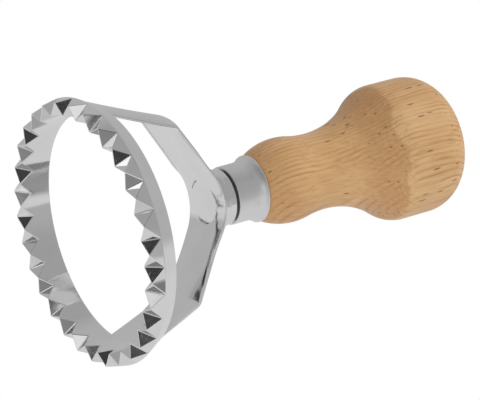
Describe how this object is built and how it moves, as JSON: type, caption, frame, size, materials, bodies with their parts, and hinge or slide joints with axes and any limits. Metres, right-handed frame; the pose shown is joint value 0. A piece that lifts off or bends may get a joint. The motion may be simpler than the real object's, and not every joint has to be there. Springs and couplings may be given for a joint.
{
  "type": "round dough stamp",
  "caption": "Round hand stamp for cutting and crimping filled dough: toothed metal rim on a two-armed stirrup, with a ferrule and a turned wooden knob handle.",
  "frame": {"origin": "centre of the circle that the cutting rim stands on", "axes": "+Z along the stamp's axis, from the cutting rim towards the handle's end; +X along one arm of the stirrup; +Y across the arms"},
  "size_m": [0.07, 0.07, 0.1142],
  "materials": {
    "plated_casting": "bright plated casting, lightly polished",
    "plated_collar": "bright plated, turned",
    "steel_stud": "plain steel, hidden",
    "dark_washer": "dark, dull",
    "plated_ferrule": "bright plated, turned",
    "beech": "clear satin lacquer"
  },
  "bodies": {
    "root": {"cutter_head": "plated_casting", "collar": "plated_collar", "stud": "steel_stud", "washer": "dark_washer", "ferrule": "plated_ferrule", "handle": "beech"}
  },
  "joints": []
}
